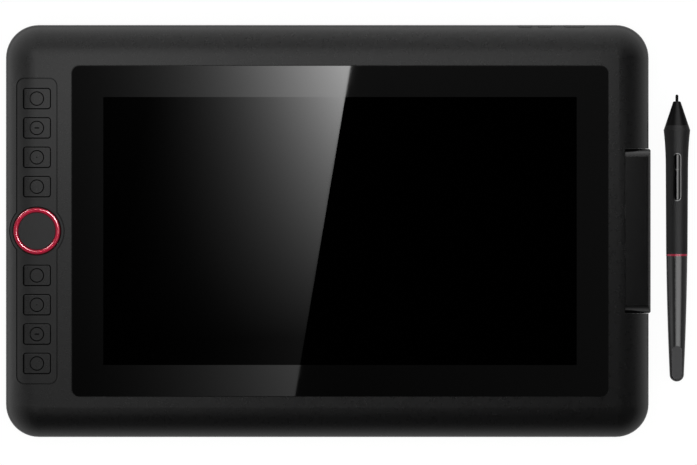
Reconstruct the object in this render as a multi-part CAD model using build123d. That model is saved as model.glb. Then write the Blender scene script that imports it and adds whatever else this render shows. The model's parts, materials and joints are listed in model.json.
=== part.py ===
from build123d import *
import math
import os

# A pen display: a slim tablet with a screen, eight keys and a dial, and its pen lying beside it.
# Millimetres, +Z up, +Y towards the tablet's far edge, the desk at Z = 0.
# Everything is modelled about the tablet's own centre and moved to the set's centre when it is written.

# Tablet body, with its thickness built up from what it holds
body_width = 390.0
body_depth = 250.0
parting_height = 5.9
face_run = 18.0
corner_flat = 2.0
back_run = 14.0
face_wall = 2.0
back_wall = 1.8
foot_proud = 1.0
corner_radius = face_run + corner_flat

# Clearances
panel_gap = 0.4
key_gap = 0.5
slide_gap = 0.2
seat_gap = 0.1
bore_gap = 0.06
cut_over = 5.0
thin = 0.05
quarter_turn = 90.0

# Layers between the desk side and the glass
board_post = 1.4
board_thickness = 1.2
stack_space = 2.6
chassis_thickness = 0.8
shield_thickness = 0.3
sensor_thickness = 0.8
tray_floor = 0.4
guide_thickness = 1.0
cell_thickness = 1.3
mask_thickness = 0.1
glass_thickness = 1.1
glass_sink = 0.1
tape_thickness = 0.2

z_back = foot_proud
z_part = z_back + parting_height
z_board_low = z_back + back_wall + board_post
z_board = z_board_low + board_thickness
z_chassis_low = z_board + stack_space
z_chassis = z_chassis_low + chassis_thickness
z_shield = z_chassis + shield_thickness
z_sensor = z_shield + sensor_thickness
z_tray = z_sensor + tray_floor
z_guide = z_tray + guide_thickness
z_cell = z_guide + cell_thickness
z_mask = z_cell + mask_thickness
z_glass = z_mask + glass_thickness
z_face = z_glass + glass_sink
z_ledge = z_cell - tape_thickness
body_thickness = z_face - z_back

# Dial, with the key strip laid out on either side of it
dial_radius = 14.4
dial_ring_width = 3.2
dial_rise = 1.3
dial_edge_margin = 4.5
dial_bulge_margin = 2.1
dial_gap = 0.5
dial_ring_height = 4.6
dial_flange_inset = 0.5
dial_flange_thickness = 0.8
dial_cap_proud = 0.2
dial_cap_thickness = 1.2
shaft_radius = 3.0
shaft_cover = 0.7
encoder_radius = 7.5
encoder_gap = 0.3

z_dial_top = z_face + dial_rise
z_dial_ring = z_dial_top - dial_ring_height
z_dial_flange = z_dial_ring - dial_flange_thickness
z_dial_cap = z_face + dial_cap_proud
dial_inner = dial_radius - dial_ring_width
core_radius = dial_inner - bore_gap

# Key strip and keys
key_width = 16.1
key_length = 12.0
key_corner = 1.4
key_pitch = 17.8
key_to_bulge = 4.4
keys_per_side = 4
key_proud = 0.2
key_edge_round = 0.3
key_travel = 0.5
key_flange = 1.2
key_flange_depth = 4.0
key_stem_radius = 2.0
key_stem_length = 0.3
key_ring_radius = 4.4
key_ring_width = 0.6
key_ring_depth = 0.55
key_mark_depth = 0.6
mark_dash_length = 3.0
mark_width = 0.7
dash_key = 2
dot_key = 3
strip_side_margin = 4.1
strip_end_margin = 6.3
strip_corner = 4.7
strip_thickness = 1.2
first_key = dial_radius + dial_bulge_margin + key_to_bulge + key_length / 2
last_key = first_key + key_pitch * (keys_per_side - 1)
strip_width = key_width + 2 * strip_side_margin
strip_length = 2 * last_key + key_length + 2 * strip_end_margin
strip_inset = dial_radius + dial_edge_margin
strip_x = strip_inset - body_width / 2

# Key board under the strip
key_board_margin = 4.45
key_board_end_inset = 1.6
key_board_thickness = 1.2
key_post_inset = 3.5
dome_radius = 2.5
dome_height = 0.9
key_board_width = key_width + 2 * key_board_margin
key_board_length = strip_length - 2 * key_board_end_inset
z_key_low = z_face - key_flange_depth
z_key_board = z_key_low - key_stem_length - key_travel - seat_gap - dome_height
z_key_board_low = z_key_board - key_board_thickness

# Connector bay and its cover on the right edge
cover_length = 99.6
cover_inset = 14.3
cover_proud = 1.1
cover_lift = 0.6
cover_wall = 2.0
cover_end_round = 5.0
cover_low_round = 4.0
cover_edge_round = 2.0
cover_plan_round = 1.2
cover_rib = 1.2
cover_ribs = 3
bay_wall = 1.8
tongue_width = 2.0
tongue_height = 2.0
tongue_reach = 4.5
tongue_drop = 3.3
badge_end_margin = 4.9
badge_thickness = 0.8
badge_sink = 0.1
badge_length = cover_length - 2 * badge_end_margin
badge_width = cover_inset + cover_proud - cover_edge_round
cover_left = body_width / 2 - cover_inset
cover_right = body_width / 2 + cover_proud
cover_inner_length = cover_length - 2 * cover_wall
rib_spacing = cover_inner_length / (cover_ribs + 1)
z_cover_low = z_back + cover_lift
bay_left = cover_left - slide_gap
z_badge = z_face - badge_sink - badge_thickness

# Screen, in the space that the key strip and the bay leave it
strip_to_glass = 8.85
bay_to_glass = 10.2
glass_end_margin = 24.6
glass_corner = 4.8
glass_edge_round = 0.25
glass_gap = 0.25
ink_border_x = 19.3
ink_border_y = 19.15
tape_inset = 0.5
ledge_width = 4.0
ledge_margin = 3.0
ledge_thickness = 1.5
cell_margin = 6.5
led_depth = 1.2
led_space = 2.5
tray_wall = 0.6
tray_gap = 0.2
tray_lip_drop = 0.3
sensor_margin = 1.2
chassis_margin = 1.5

glass_left_margin = strip_inset + strip_width / 2 + strip_to_glass
glass_right_margin = cover_inset + bay_to_glass
glass_width = body_width - glass_left_margin - glass_right_margin
glass_depth = body_depth - 2 * glass_end_margin
glass_shift = (glass_left_margin - glass_right_margin) / 2
active_width = glass_width - 2 * ink_border_x
active_depth = glass_depth - 2 * ink_border_y
cell_width = active_width + 2 * cell_margin
cell_depth = active_depth + 2 * cell_margin
tray_width = cell_width + 2 * (tray_gap + tray_wall)
tray_depth = cell_depth + 2 * (tray_gap + tray_wall)
sensor_width = tray_width + 2 * sensor_margin
sensor_depth = tray_depth + 2 * sensor_margin
chassis_width = glass_width + 2 * chassis_margin
chassis_depth = glass_depth + 2 * chassis_margin

# Main board and its sockets
board_width = 82.0
board_length = 100.0
board_edge_gap = 0.7
post_radius = 2.2
post_inset = 5.0
chip_height = 1.2
chip_sides = (14.0, 11.0, 9.0)
chip_pitch = 24.0
socket_width = 8.9
socket_height = 3.2
socket_depth = 8.4
socket_wall = 0.35
socket_out = 0.5
socket_tongue = 0.7
board_right = bay_left - bay_wall - board_edge_gap
socket_right = bay_left + socket_out

# Screws
screw_radius = 1.1
screw_head_radius = 2.6
screw_head_height = 0.9
screw_length = 9.0
screw_sink = 1.0
boss_radius = 3.0
boss_inset_x = 15.6
boss_inset_y = 12.5
boss_mid_x = 60.0
small_screw_radius = 0.8
small_head_radius = 1.5
small_head_height = 0.7
small_screw_grip = 1.0

# Locating lip of the rear cover
lip_gap = 0.5
lip_thickness = 1.0
lip_height = 1.0
lip_root = 2.5

# Edge buttons on the far edge
edge_button_height = 1.6
edge_button_lip_gap = 0.15
edge_button_flange = 1.0
edge_button_flange_thickness = 0.8
edge_button_travel = 0.4
edge_button_proud = 0.1
power_width = 12.0
brightness_width = 8.0
power_inset = 45.0
brightness_pitch = 12.0
switch_width = 3.5
switch_depth = 1.6
switch_height = 2.0
side_board_length = 48.0
side_board_thickness = 1.2
side_board_drop = 5.0
side_board_rise = 1.4
clip_width = 4.0
clip_depth = 3.0
power_x = body_width / 2 - power_inset
z_edge_button = z_part + lip_height + edge_button_lip_gap + edge_button_height / 2

# Feet
foot_end_margin = 45.0
foot_width = 9.0
foot_sink = 0.6
foot_inset = 30.0
foot_length = body_width - 2 * foot_end_margin

# Ribbons
ribbon_thickness = 0.2
ribbon_width = 10.0
ribbon_bend = 1.0
ribbon_land = 6.0
ribbon_spacing = 30.0

# Pen, measured back from its tip along its axis
pen_gap = 8.0
pen_tip_y = 82.8
nib_radius = 0.9
nib_out = 4.1
nib_length = 30.9
nib_travel = 0.6
nose_tip_radius = 2.2
nose_tip_round = 0.9
nose_length = 14.5
nose_base_radius = 7.05
flare_length = 3.0
flare_radius = 8.05
bend_length = 10.4
waist_length = 21.8
waist_radius = 6.8
barrel_length = 53.3
grip_end_radius = 6.5
accent_length = 1.2
tail_start_radius = 6.43
tail_length = 72.1
tail_bend_radius = 6.0
tail_end_radius = 4.33
tail_tip_length = 4.2
pen_bore = 5.0
spigot_length = 6.0
tail_bore = 3.5
tail_bore_length = 50.9
coil_radius = 2.8
coil_length = 10.0
coil_start = 5.0
pressure_length = 4.0
pen_board_width = 9.8
pen_board_thickness = 1.0
rocker_start = 35.8
rocker_length = 28.3
rocker_slot_width = 4.1
rocker_gap = 0.5
rocker_round = 1.9
rocker_rise = 0.5
rocker_depth = 3.9
rocker_divide = 9.5
rocker_groove = 0.4
rocker_tilt = 1.5
rocker_pin_radius = 0.5
rocker_pin_drop = 3.0
rocker_pin_bite = 1.5
rocker_switch_side = 2.4
rocker_switch_inset = 5.0
bezel_width = 0.4
bezel_proud = 0.15
bezel_depth = 0.8
end_plate_start = 152.4
end_plate_width = 5.9
end_plate_thickness = 0.8
end_plate_margin = 1.4
section_count = 48

nose_end = nib_out + nose_length
flare_at = nose_end + flare_length
bend_at = flare_at + bend_length
waist_at = flare_at + waist_length
grip_end = waist_at + barrel_length
barrel_taper = (waist_radius - grip_end_radius) / barrel_length
bend_radius = waist_radius + barrel_taper * (waist_at - bend_at)
tail_start = grip_end + accent_length
tail_middle = tail_start + tail_length / 2
tail_end = tail_start + tail_length
pen_end = tail_end + tail_tip_length
pressure_start = nib_length + nib_travel + seat_gap
pen_board_start = pressure_start + pressure_length
pen_board_length = grip_end - spigot_length - pen_board_start - seat_gap
pen_x = body_width / 2 + cover_proud + pen_gap + flare_radius


def tail_radius(s):
    """Radius of the rear barrel, whose outline is a parabola pulled towards its bend."""
    share = (s - tail_start) / tail_length
    ends = (1 - share) ** 2 * tail_start_radius + share ** 2 * tail_end_radius
    return ends + 2 * share * (1 - share) * tail_bend_radius


# The pen lies on its flare and on whichever rear section meets the desk first.
tail_sections = [tail_start + tail_length * i / section_count for i in range(section_count + 1)]
rests = [(grip_end, grip_end_radius)] + [(s, tail_radius(s)) for s in tail_sections]
pen_tilt = min(math.atan2(flare_radius - r, s - flare_at) for s, r in rests)
pen_tip_z = flare_at * math.sin(pen_tilt) + flare_radius * math.cos(pen_tilt)
pen_place = Pos(pen_x, pen_tip_y, pen_tip_z) * Rot(math.degrees(pen_tilt), 0, 0)

# The origin is the middle of the whole set, seen from above.
set_right = pen_x + flare_radius
origin_x = (set_right - body_width / 2) / 2


# Basic shapes

def block(x0, x1, y0, y1, z0, z1):
    size = (x1 - x0, y1 - y0, z1 - z0)
    return Pos(x0, y0, z0) * Box(*size, align=(Align.MIN, Align.MIN, Align.MIN))


def plate(width, depth, z0, z1, corner=0.0, x=0.0, y=0.0):
    outline = RectangleRounded(width, depth, corner) if corner else Rectangle(width, depth)
    return Pos(x, y, z0) * extrude(outline, amount=z1 - z0)


def post(radius, z0, z1, x=0.0, y=0.0):
    return Pos(x, y, z0) * Cylinder(radius, z1 - z0, align=(Align.CENTER, Align.CENTER, Align.MIN))


def separate(shapes):
    """Loose pieces kept as solids of their own in one group."""
    return Compound([solid for shape in shapes for solid in shape.solids()])


def cushion_slab(inset, full_run, rise):
    """Half of the body: a rounded slab whose rim curves down a quarter ellipse, inset from the outline."""
    half_x = body_width / 2 - inset
    half_y = body_depth / 2 - inset
    radius = corner_radius - inset
    run = full_run - inset
    height = rise - inset

    def section(half):
        with BuildSketch(Plane.XZ) as sketch:
            with BuildLine():
                Line((run - half, height), (half - run, height))
                EllipticalCenterArc((half - run, 0), run, height, 0, arc_size=quarter_turn)
                Line((half, 0), (-half, 0))
                EllipticalCenterArc((run - half, 0), run, height, quarter_turn, arc_size=quarter_turn)
            make_face()
        return sketch.sketch

    with BuildSketch(Plane.XZ) as corner:
        with BuildLine():
            Line((0, 0), (0, height))
            Line((0, height), (radius - run, height))
            EllipticalCenterArc((radius - run, 0), run, height, 0, arc_size=quarter_turn)
            Line((radius, 0), (0, 0))
        make_face()
    knob = revolve(corner.sketch, Axis.Z)
    slab = extrude(section(half_x), amount=half_y - radius, both=True)
    slab += Rot(0, 0, quarter_turn) * extrude(section(half_y), amount=half_x - radius, both=True)
    for side_x in (-1, 1):
        for side_y in (-1, 1):
            slab += Pos(side_x * (half_x - radius), side_y * (half_y - radius), 0) * knob
    return slab


def face_slab(inset):
    return Pos(0, 0, z_part) * cushion_slab(inset, face_run, z_face - z_part)


def back_slab(inset):
    upward = cushion_slab(inset, back_run, z_part - z_back)
    return Pos(0, 0, z_part) * mirror(upward, Plane.XY)


def rim_inset(z, inset):
    """How far in from the outline the face side's skin lies at height z, for a skin this deep."""
    height = z_face - z_part - inset
    share = min(max((z - z_part) / height, 0), 1)
    return inset + (face_run - inset) * (1 - math.sqrt(1 - share * share))


def stadium(width, length, z0, z1):
    return extrude(Pos(0, 0, z0) * Rot(0, 0, quarter_turn) * SlotOverall(length, width), amount=z1 - z0)


def key_places():
    """Centres of the keys from the far end to the near one."""
    upper = [first_key + key_pitch * i for i in reversed(range(keys_per_side))]
    return upper + [-y for y in reversed(upper)]


# Connector bay

def bay_cut():
    reach = cover_length / 2 + slide_gap
    right = cover_right + cut_over
    return block(bay_left, right, -reach, reach, z_back - cut_over, z_face + cut_over)


def bay_walls(slab):
    reach = cover_length / 2 + slide_gap + bay_wall
    left = bay_left - bay_wall
    return slab & block(left, cover_right, -reach, reach, z_back, z_face)


def socket_cuts():
    half = socket_width / 2 + slide_gap
    return [
        block(
            board_right, socket_right, y - half, y + half,
            z_board - slide_gap, z_board + socket_height + slide_gap,
        )
        for y in socket_places()
    ]


def socket_places():
    """The two sockets face the two middle spaces between the cover's ribs."""
    return (rib_spacing / 2, -rib_spacing / 2)


def tongue_places():
    outer = rib_spacing * (cover_ribs - 1) / 2
    return (outer, -outer)


def tongue_cuts():
    z1 = z_face - tongue_drop
    half = tongue_width / 2 + slide_gap
    return [
        block(
            bay_left - bay_wall - slide_gap, bay_left + slide_gap, y - half, y + half,
            z1 - tongue_height - slide_gap, z1 + slide_gap,
        )
        for y in tongue_places()
    ]


def make_port_cover():
    """Cap over the connector bay: it carries the bay's outer walls and pulls straight off."""
    mid_z = (z_cover_low + z_face) / 2
    height = z_face - z_cover_low
    depth = cover_right - cover_left
    ends = Rectangle(cover_length, height)
    ends = fillet(ends.vertices().group_by(Axis.Y)[-1], cover_end_round)
    ends = fillet(ends.vertices().group_by(Axis.Y)[0], cover_low_round)
    side = Rectangle(depth, height)
    side = fillet(side.vertices().group_by(Axis.X)[-1], cover_edge_round)
    plan = Rectangle(depth, cover_length)
    plan = fillet(plan.vertices().group_by(Axis.X)[-1], cover_plan_round)
    mid_x = (cover_left + cover_right) / 2
    shape = Pos(mid_x, 0, mid_z) * (
        extrude(Plane.YZ * ends, amount=depth / 2, both=True)
        & extrude(Plane.XZ * side, amount=cover_length / 2, both=True)
        & extrude(plan, amount=height / 2, both=True)
    )
    inner_right = cover_right - cover_wall
    half = cover_inner_length / 2
    shape -= block(
        cover_left - cut_over, inner_right, -half, half,
        z_cover_low + cover_wall, z_face - cover_wall,
    )
    for i in range(cover_ribs):
        y = rib_spacing * (i - (cover_ribs - 1) / 2)
        shape += block(
            socket_right + slide_gap, inner_right + thin, y - cover_rib / 2, y + cover_rib / 2,
            z_cover_low + cover_wall - thin, z_face - cover_wall + thin,
        )
    for y in tongue_places():
        shape += block(
            cover_left - tongue_reach, inner_right, y - tongue_width / 2, y + tongue_width / 2,
            z_face - tongue_drop - tongue_height, z_face - tongue_drop,
        )
    shape -= block(
        cover_left - cut_over, cover_left + badge_width + seat_gap,
        -badge_length / 2 - seat_gap, badge_length / 2 + seat_gap, z_badge, z_face + cut_over,
    )
    return shape


def make_badge_plate():
    right = cover_left + badge_width
    return block(
        cover_left, right, -badge_length / 2, badge_length / 2, z_badge, z_badge + badge_thickness
    )


# Body shells

def strip_outline(margin):
    """Plan of the key strip with its round bulge at the dial, as a tall prism."""
    tall = body_thickness + 2 * cut_over
    strip = RectangleRounded(
        strip_width + 2 * margin, strip_length + 2 * margin, strip_corner + margin
    )
    bulge = Circle(dial_radius + dial_bulge_margin + margin)
    return Pos(strip_x, 0, z_back - cut_over) * extrude(strip + bulge, amount=tall)


def strip_openings():
    """Windows for the keys and the round hole for the dial."""
    width = key_width + 2 * key_gap
    length = key_length + 2 * key_gap
    cuts = [post(dial_radius + dial_gap, z_part, z_face + cut_over, strip_x)]
    cuts += [
        plate(width, length, z_part, z_face + cut_over, key_corner + key_gap, strip_x, y)
        for y in key_places()
    ]
    return cuts


def boss_places():
    far_x = body_width / 2 - boss_inset_x
    far_y = body_depth / 2 - boss_inset_y
    return [(x, y) for y in (far_y, -far_y) for x in (-far_x, -boss_mid_x, boss_mid_x, far_x)]


def chassis_places():
    far_x = glass_width / 2 - tape_inset
    far_y = glass_depth / 2 - tape_inset
    return [(glass_shift + x, y) for y in (far_y, -far_y) for x in (-far_x, 0, far_x)]


def edge_buttons():
    """Name, centre and width of each button on the far edge."""
    far_x = power_x - power_width / 2 - brightness_pitch
    return (
        ("power_button", power_x, power_width),
        ("brightness_up_button", far_x, brightness_width),
        ("brightness_down_button", far_x - brightness_pitch, brightness_width),
    )


edge_flange_half = edge_button_height / 2 + edge_button_flange / 2
edge_flange_y = (
    body_depth / 2 - rim_inset(z_edge_button + edge_flange_half, face_wall) - slide_gap
)
switch_y = edge_flange_y - edge_button_flange_thickness - edge_button_travel - slide_gap
side_board_y = switch_y - switch_depth
clip_y = side_board_y - side_board_thickness


def edge_pill(x, width, y0, y1, margin=0.0):
    """A round-ended bar along Y, centred on an edge button."""
    outline = SlotOverall(width + 2 * margin, edge_button_height + 2 * margin)
    return Pos(x, y0, z_edge_button) * Rot(-quarter_turn, 0, 0) * extrude(outline, amount=y1 - y0)


def top_case_fixtures(outer):
    """What stands on the inside of the top case: the glass ledge, bosses, clips and bay walls."""
    roof = z_face - face_wall
    margin = 2 * ledge_margin
    ledge_low = z_ledge - ledge_thickness
    fixtures = [
        plate(
            glass_width + margin, glass_depth + margin, ledge_low, roof + thin,
            glass_corner + ledge_margin, glass_shift,
        ),
        bay_walls(outer),
    ]
    fixtures += [post(boss_radius, z_part, roof + thin, x, y) for x, y in boss_places()]
    fixtures += [post(post_radius, z_chassis, ledge_low + thin, x, y) for x, y in chassis_places()]
    for x in (power_x, edge_buttons()[-1][1]):
        fixtures.append(
            block(
                x - clip_width / 2, x + clip_width / 2, clip_y - clip_depth, clip_y,
                z_edge_button - switch_height, roof + thin,
            )
        )
    return fixtures


def top_case_cuts(outer, strip_floor):
    """The glass recess and window, the key strip's pocket, and every hole through the top case."""
    opening = 2 * ledge_width
    recess = 2 * glass_gap
    cuts = [
        plate(
            glass_width + recess, glass_depth + recess, z_ledge, z_face + cut_over,
            glass_corner + glass_gap, glass_shift,
        ),
        plate(
            glass_width - opening, glass_depth - opening, z_part, z_face,
            glass_corner - tape_inset, glass_shift,
        ),
        (outer - strip_floor) & strip_outline(panel_gap),
        bay_cut(),
    ]
    cuts += strip_openings() + socket_cuts() + tongue_cuts()
    inside = edge_flange_y - cut_over
    outside = body_depth / 2 + cut_over
    cuts += [edge_pill(x, width, inside, outside, slide_gap) for _, x, width in edge_buttons()]
    screw_end = z_back + screw_sink + screw_length + thin
    cuts += [
        post(screw_radius + thin, z_part - cut_over, screw_end, x, y) for x, y in boss_places()
    ]
    grip_end_z = z_chassis + small_screw_grip + thin
    cuts += [
        post(small_screw_radius + thin, z_chassis - cut_over, grip_end_z, x, y)
        for x, y in chassis_places()
    ]
    return cuts


def make_top_case(outer, strip_floor, cavity):
    case = (outer - cavity) + top_case_fixtures(outer)
    return case - top_case_cuts(outer, strip_floor)


def make_key_panel(outer, strip_floor):
    return ((outer - strip_floor) & strip_outline(0)) - strip_openings()


def lip_ring():
    """Low wall on the rear cover that the top case drops over."""
    reach = lip_gap + face_wall
    outline = []
    for inset in (reach, reach + lip_thickness):
        outline.append(
            plate(
                body_width - 2 * inset, body_depth - 2 * inset, z_part - lip_root,
                z_part + lip_height, corner_radius - inset,
            )
        )
    return outline[0] - outline[1]


def board_posts():
    """Centre and top of each post that carries a board on the rear cover."""
    left = board_right - board_width
    half = board_length / 2 - post_inset
    posts = [
        (x, y, z_board_low)
        for x in (left + post_inset, board_right - post_inset)
        for y in (half, -half)
    ]
    side = key_board_width / 2 - key_post_inset
    end = key_board_length / 2 - key_post_inset
    posts += [(strip_x + x, y, z_key_board_low) for x in (side, -side) for y in (end, -end)]
    return posts


def make_rear_cover(outer, cavity):
    reach = cover_length / 2 + bay_wall + 2 * slide_gap
    bay = block(bay_left - bay_wall - slide_gap, body_width, -reach, reach, z_back, z_face)
    root = z_back + back_wall / 2
    fixtures = [lip_ring() - bay, bay_walls(outer)]
    fixtures += [post(post_radius, root, top, x, y) for x, y, top in board_posts()]
    fixtures += [post(boss_radius, root, z_part, x, y) for x, y in boss_places()]
    cuts = [bay_cut()] + socket_cuts()
    cuts += [
        post(small_screw_radius + thin, top - small_screw_grip - thin, top + thin, x, y)
        for x, y, top in board_posts()
    ]
    seat = z_back + screw_sink
    for x, y in boss_places():
        cuts.append(post(screw_radius + slide_gap, z_back, z_part + thin, x, y))
        cuts.append(post(screw_head_radius + slide_gap, z_back - cut_over, seat, x, y))
    length = foot_length + 2 * slide_gap
    width = foot_width + 2 * slide_gap
    cuts += [
        plate(length, width, z_back - cut_over, z_back + foot_sink, foot_width / 2, 0, y)
        for y in foot_places()
    ]
    return (outer - cavity) + fixtures - cuts


def foot_places():
    far = body_depth / 2 - foot_inset
    return (-far, far)


def make_foot(y):
    corner = foot_width / 2 - slide_gap
    return plate(foot_length, foot_width, 0, z_back + foot_sink, corner, 0, y)


# Screen stack

def screen_plate(width, depth, z0, z1, corner=0.0):
    return plate(width, depth, z0, z1, corner, glass_shift)


def make_cover_glass():
    glass = screen_plate(glass_width, glass_depth, z_mask, z_glass, glass_corner)
    return fillet(glass.edges().group_by(Axis.Z)[-1], glass_edge_round)


def make_screen_mask():
    ring = screen_plate(glass_width, glass_depth, z_cell, z_mask, glass_corner)
    return ring - screen_plate(active_width, active_depth, z_cell, z_mask)


def make_glass_tape():
    outer = 2 * tape_inset
    inner = 2 * (ledge_width - tape_inset)
    ring = screen_plate(
        glass_width - outer, glass_depth - outer, z_ledge, z_cell, glass_corner - tape_inset
    )
    return ring - screen_plate(glass_width - inner, glass_depth - inner, z_ledge, z_cell)


def make_lcd_panel():
    return screen_plate(cell_width, cell_depth, z_guide, z_cell)


def make_light_guide():
    low = -cell_depth / 2 + led_space
    half = cell_width / 2
    return block(glass_shift - half, glass_shift + half, low, cell_depth / 2, z_tray, z_guide)


def make_led_strip():
    half = active_width / 2
    near = -cell_depth / 2 + led_space - seat_gap
    return block(glass_shift - half, glass_shift + half, near - led_depth, near, z_tray, z_guide)


def make_backlight_tray():
    tray = screen_plate(tray_width, tray_depth, z_sensor, z_cell - tray_lip_drop)
    inner = 2 * tray_wall
    return tray - screen_plate(tray_width - inner, tray_depth - inner, z_tray, z_cell)


def ribbon_notch():
    """Gap in the near edge of the sensor layers where the screen's ribbon drops past them."""
    x, _ = ribbon_columns()
    half = ribbon_width / 2 + slide_gap
    near = -tray_depth / 2
    return block(x - half, x + half, near - cut_over, near + slide_gap, z_chassis, z_sensor)


def make_sensor_board():
    return screen_plate(sensor_width, sensor_depth, z_shield, z_sensor) - ribbon_notch()


def make_shield_plate():
    return screen_plate(sensor_width, sensor_depth, z_chassis, z_shield) - ribbon_notch()


def ribbon_slot():
    """Slot in the chassis plate that the screen's and the sensor's ribbons drop through."""
    left, right = ribbon_columns()
    return block(
        left - ribbon_width, right + ribbon_width,
        -sensor_depth / 2 - 2 * ribbon_bend, -tray_depth / 2 + slide_gap,
        z_chassis_low - cut_over, z_chassis + cut_over,
    )


def ribbon_columns():
    """Where across the main board the screen's and the sensor's ribbons run."""
    middle = board_right - board_width / 2
    return (middle - ribbon_spacing / 2, middle + ribbon_spacing / 2)


def make_chassis_plate():
    sheet = screen_plate(chassis_width, chassis_depth, z_chassis_low, z_chassis, glass_corner)
    for x, y in chassis_places():
        sheet -= post(small_screw_radius + seat_gap, z_chassis_low, z_chassis, x, y)
    return sheet - ribbon_slot()


# Electronics

def make_main_board():
    left = board_right - board_width
    half = board_length / 2
    board = block(left, board_right, -half, half, z_board_low, z_board)
    for x, y, top in board_posts():
        if top == z_board_low:
            board -= post(small_screw_radius + seat_gap, z_board_low, z_board, x, y)
    return board


def make_board_chips():
    middle = board_right - board_width / 2
    rows = range(len(chip_sides))
    start = chip_pitch * (len(chip_sides) - 1) / 2
    return separate(
        plate(
            chip_sides[i], chip_sides[i], z_board, z_board + chip_height,
            x=middle, y=start - chip_pitch * i,
        )
        for i in rows
    )


def make_socket(y):
    """One connector: a pressed shell with a round-ended mouth and the contact tongue inside."""
    middle = z_board + socket_height / 2
    left = socket_right - socket_depth

    def bar(width, height, x0, x1):
        outline = Rot(0, 0, quarter_turn) * SlotOverall(width, height)
        return Pos(x0, y, middle) * Rot(0, quarter_turn, 0) * extrude(outline, amount=x1 - x0)

    back = left + 2 * socket_wall
    shell = bar(socket_width, socket_height, left, socket_right)
    inner = 2 * socket_wall
    shell -= bar(socket_width - inner, socket_height - inner, back, socket_right + cut_over)
    half = socket_width / 2 - 3 * socket_wall
    tongue = block(
        back - thin, socket_right - 3 * socket_wall, y - half, y + half,
        middle - socket_tongue / 2, middle + socket_tongue / 2,
    )
    return shell + tongue


def make_key_board():
    board = plate(
        key_board_width, key_board_length, z_key_board_low, z_key_board, key_corner, strip_x
    )
    for x, y, top in board_posts():
        if top == z_key_board_low:
            board -= post(small_screw_radius + seat_gap, z_key_board_low, z_key_board, x, y)
    return board


def make_key_domes():
    return separate(
        post(dome_radius, z_key_board, z_key_board + dome_height, strip_x, y)
        for y in key_places()
    )


def make_side_board():
    left = edge_buttons()[-1][1] - brightness_width
    middle = (left + power_x + power_width) / 2
    half = side_board_length / 2
    return block(
        middle - half, middle + half, clip_y, side_board_y,
        z_edge_button - side_board_drop, z_edge_button + side_board_rise,
    )


def make_side_switches():
    half = switch_height / 2
    return separate(
        block(
            x - switch_width / 2, x + switch_width / 2, side_board_y, switch_y,
            z_edge_button - half, z_edge_button + half,
        )
        for _, x, _ in edge_buttons()
    )


def make_edge_button(x, width, raised):
    button = raised & edge_pill(
        x, width, edge_flange_y - edge_button_flange_thickness, body_depth / 2 + cut_over
    )
    half = width / 2 + edge_button_flange / 2
    return button + block(
        x - half, x + half, edge_flange_y - edge_button_flange_thickness, edge_flange_y,
        z_edge_button - edge_flange_half, z_edge_button + edge_flange_half,
    )


def ribbon(points, plane, width, centre):
    """A flat cable of one thickness along a bent path, drawn in a plane and widened either way."""
    path = FilletPolyline(*points, radius=ribbon_bend)
    face = trace(path, line_width=ribbon_thickness)
    return centre * extrude(plane * face, amount=width / 2, both=True)


def make_key_ribbon():
    """From the key board's underside along the rear cover's floor to the main board's underside."""
    half = ribbon_thickness / 2
    start = strip_x + key_board_width / 2
    floor = z_back + back_wall + half
    end = board_right - board_width
    high, low = z_key_board_low - half, z_board_low - half
    points = (
        (start - ribbon_land, high), (start, high), (start + ribbon_land, floor),
        (end - ribbon_land, floor), (end, low), (end + ribbon_land, low),
    )
    return ribbon(points, Plane.XZ, ribbon_width, Pos(0, 0, 0))


def make_drop_ribbon(x, start_y, z_start):
    """From a board's near edge down through the chassis slot and back to the main board's top."""
    half = ribbon_thickness / 2
    gap_y = start_y - half
    mid_z = (z_chassis_low + z_board) / 2
    end = -board_length / 2
    points = (
        (gap_y, z_start), (gap_y, mid_z), (end - ribbon_land, mid_z),
        (end, z_board + half), (end + ribbon_land, z_board + half),
    )
    return ribbon(points, Plane.YZ, ribbon_width, Pos(x, 0, 0))


# Keys

def key_rim(cap, y):
    """The edges round a key's top face, without the seam where its curve begins."""
    inner_x = key_width / 2 - key_corner
    inner_y = key_length / 2 - key_corner
    upper = cap.edges().filter_by(lambda edge: edge.center().Z > z_face - face_wall / 2)
    return upper.filter_by(
        lambda edge: abs(edge.center().X - strip_x) > inner_x or abs(edge.center().Y - y) > inner_y
    )


def key_ring(y):
    """V-shaped ring groove, drawn twice as deep and wide so that it stands clear of the key's top."""
    middle = key_ring_radius - key_ring_width / 2
    top = z_face + key_proud
    with BuildSketch(Plane.XZ) as section:
        with BuildLine():
            Polyline(
                (middle, top - key_ring_depth),
                (middle + key_ring_width, top + key_ring_depth),
                (middle - key_ring_width, top + key_ring_depth),
                close=True,
            )
        make_face()
    return Pos(strip_x, y, 0) * revolve(section.sketch, Axis.Z)


def make_key(number, y, raised, lowered, roof):
    cap = raised & plate(
        key_width, key_length, z_key_low, z_face + cut_over, key_corner, strip_x, y
    )
    cap = fillet(key_rim(cap, y), key_edge_round)
    width = key_width + 2 * key_flange
    length = key_length + 2 * key_flange
    cap += roof & plate(width, length, z_key_low, z_face, key_corner, strip_x, y)
    cap += post(key_stem_radius, z_key_low - key_stem_length, z_key_low + thin, strip_x, y)
    cap -= key_ring(y)
    order = min(number, 2 * keys_per_side + 1 - number)
    if order == dash_key:
        bar = SlotOverall(mark_dash_length, mark_width)
        mark = Pos(strip_x, y, z_part) * extrude(bar, amount=z_face + cut_over - z_part)
        cap -= (raised - lowered) & mark
    if order == dot_key:
        mark = post(mark_width / 2, z_part, z_face + cut_over, strip_x, y)
        cap -= (raised - lowered) & mark
    return cap


# Dial

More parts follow.
